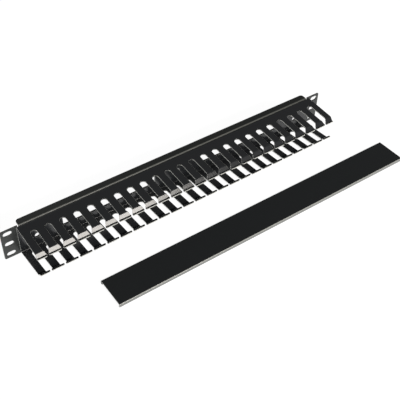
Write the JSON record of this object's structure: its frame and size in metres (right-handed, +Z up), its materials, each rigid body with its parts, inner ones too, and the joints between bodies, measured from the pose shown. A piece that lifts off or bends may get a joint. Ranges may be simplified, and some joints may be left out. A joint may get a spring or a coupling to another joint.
{
  "type": "horizontal cable manager",
  "caption": "Black sheet-steel horizontal cable manager for a 19-inch rack: slotted finger duct on an eared back plate, push-fit front cover laid apart.",
  "frame": {"origin": "centre of the rack-mounting plane: the rear face of the two ears, midway between them and at mid-height", "axes": "X along the rack's width, -Y out of the rack towards the fingers and the cover, Z up"},
  "size_m": [0.5158, 0.1488, 0.0436],
  "materials": {
    "plate_coating": "satin black powder coat",
    "duct_coating": "satin black powder coat",
    "cover_coating": "satin black powder coat"
  },
  "bodies": {
    "root": {"back_plate": "plate_coating", "finger_duct": "duct_coating", "snap_cover": "cover_coating"}
  },
  "joints": []
}
